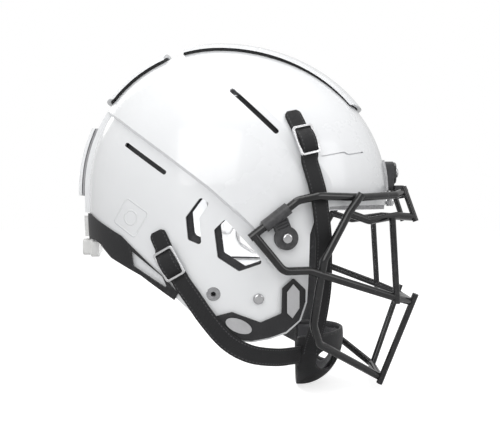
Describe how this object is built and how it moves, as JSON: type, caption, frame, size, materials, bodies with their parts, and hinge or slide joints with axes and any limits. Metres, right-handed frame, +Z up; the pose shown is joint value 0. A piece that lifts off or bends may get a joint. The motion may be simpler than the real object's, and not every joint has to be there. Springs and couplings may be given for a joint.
{
  "type": "american football helmet",
  "caption": "American football helmet with a vented hard shell, cushioned crown plates, welded wire face guard, padded liner, and chin strap with a cup and four studs",
  "frame": {"origin": "the middle of the head seat: on the wearer's mid-plane, at the level of the brow edge, 12 mm in front of the shell's widest section", "axes": "+X forward, +Y to the wearer's left, +Z up"},
  "size_m": [0.3124, 0.2432, 0.3186],
  "materials": {
    "shell_gloss": "white high-gloss moulded shell",
    "rubber_black": "black moulded thermoplastic rubber",
    "foam_black": "black padded liner",
    "wire_black": "black gloss powder-coated steel wire",
    "webbing_black": "black woven webbing",
    "steel_bright": "bright plated steel",
    "steel_satin": "satin steel",
    "clip_black": "black moulded nylon",
    "clip_grey": "dark grey moulded nylon",
    "trim_white": "white moulded plastic",
    "label_grey": "plain grey label plate",
    "cup_black": "black moulded polycarbonate"
  },
  "bodies": {
    "helmet": {"back_pad": "foam_black", "bracket_base": "trim_white", "bracket_block": "clip_black", "bracket_cover": "clip_grey", "bracket_loop": "clip_black", "bracket_screws": "steel_satin", "brow_bar": "wire_black", "brow_trim": "trim_white", "centre_struts": "wire_black", "cheek_grommets": "steel_satin", "chin_cup": "cup_black", "chin_cup_pad": "foam_black", "crown_pad": "foam_black", "front_pad": "foam_black", "front_strap_left": "webbing_black", "front_strap_right": "webbing_black", "inner_nuts": "steel_satin", "jaw_guard_left": "rubber_black", "jaw_guard_right": "rubber_black", "jaw_labels_oval": "label_grey", "jaw_labels_tall": "label_grey", "jaw_pads": "foam_black", "jaw_wire": "wire_black", "lower_uprights": "wire_black", "middle_bar": "wire_black", "nape_bumper": "rubber_black", "nape_clips": "trim_white", "nape_pad": "foam_black", "nape_plate": "trim_white", "plate_cushion_back": "rubber_black", "plate_cushion_front": "rubber_black", "plate_cushion_rear": "rubber_black", "rear_strap_left": "webbing_black", "rear_strap_right": "webbing_black", "shell": "shell_gloss", "shell_screws": "steel_bright", "side_clip_left": "clip_grey", "side_clip_right": "clip_grey", "side_pad_left": "foam_black", "side_pad_right": "foam_black", "snap_studs": "steel_bright", "temple_pads": "foam_black", "top_rail": "wire_black", "upper_uprights": "wire_black"},
    "front_snap_right": {"front_snap_cap_right": "clip_black", "front_buckle_right": "steel_bright", "front_strap_tail_right": "webbing_black"},
    "rear_snap_right": {"rear_snap_cap_right": "clip_black", "rear_buckle_right": "steel_bright", "rear_strap_tail_right": "webbing_black"},
    "front_snap_left": {"front_snap_cap_left": "clip_black", "front_buckle_left": "steel_bright", "front_strap_tail_left": "webbing_black"},
    "rear_snap_left": {"rear_snap_cap_left": "clip_black", "rear_buckle_left": "steel_bright", "rear_strap_tail_left": "webbing_black"},
    "plate_front": {"crown_plate_front": "shell_gloss"},
    "plate_rear": {"crown_plate_rear": "shell_gloss"},
    "plate_back": {"crown_plate_back": "shell_gloss"}
  },
  "joints": [
    {"name": "front_snap_right_pull", "type": "slide", "parent": "helmet", "child": "front_snap_right", "axis": [0.3943, -0.8796, 0.2662], "range_m": [0, 0.006]},
    {"name": "rear_snap_right_pull", "type": "slide", "parent": "helmet", "child": "rear_snap_right", "axis": [-0.2348, -0.9681, -0.0874], "range_m": [0, 0.006]},
    {"name": "front_snap_left_pull", "type": "slide", "parent": "helmet", "child": "front_snap_left", "axis": [0.3943, 0.8796, 0.2662], "range_m": [0, 0.006]},
    {"name": "rear_snap_left_pull", "type": "slide", "parent": "helmet", "child": "rear_snap_left", "axis": [-0.2348, 0.9681, -0.0874], "range_m": [0, 0.006]},
    {"name": "plate_front_press", "type": "slide", "parent": "helmet", "child": "plate_front", "axis": [-0.3499, 0, -0.9368], "range_m": [0, 0.0012], "stiffness_N_per_m": 4000, "deforming": ["plate_cushion_front"]},
    {"name": "plate_rear_press", "type": "slide", "parent": "helmet", "child": "plate_rear", "axis": [0.6102, 0, -0.7923], "range_m": [0, 0.0012], "stiffness_N_per_m": 4000, "deforming": ["plate_cushion_rear"]},
    {"name": "plate_back_press", "type": "slide", "parent": "helmet", "child": "plate_back", "axis": [0.98, 0, -0.199], "range_m": [0, 0.0012], "stiffness_N_per_m": 4000, "deforming": ["plate_cushion_back"]}
  ]
}
